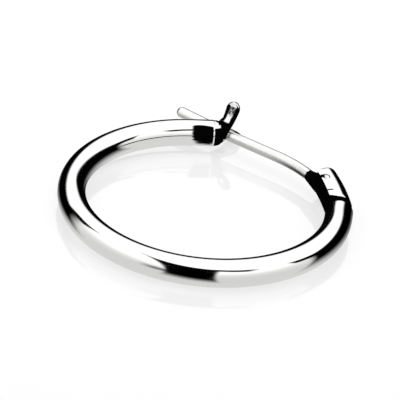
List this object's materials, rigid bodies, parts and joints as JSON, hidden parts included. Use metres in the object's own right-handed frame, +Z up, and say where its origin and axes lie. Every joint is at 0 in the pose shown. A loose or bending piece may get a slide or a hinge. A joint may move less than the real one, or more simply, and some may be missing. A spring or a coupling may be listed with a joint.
{
  "type": "hinged hoop earring",
  "caption": "Small hinged hoop earring of round tube; a thin curved ear wire swings on a riveted hinge and lies in an open V catch.",
  "frame": {"origin": "centre of the earring's bounding box, at the level of the floor that it lies on", "axes": "+Z up from the floor; the hoop's plane leans about 1.2 degrees from level; +X towards the hinge's side; -Y towards the side away from the catch"},
  "size_m": [0.0208, 0.023, 0.0037],
  "materials": {
    "silver": "polished sterling silver with dark oxidised recesses",
    "pin": "polished silver rivet",
    "wire": "polished drawn silver wire"
  },
  "bodies": {
    "hoop_body": {"hoop": "silver", "hinge_pin": "pin"},
    "ear_wire_body": {"ear_wire": "wire"}
  },
  "joints": [
    {"name": "ear_wire_hinge", "type": "hinge", "parent": "hoop_body", "child": "ear_wire_body", "pos_m": [0.00836, 0.00251, 0.00126], "axis": [0.0025, 0.0201, -0.9998], "range_deg": [0, 100]}
  ]
}
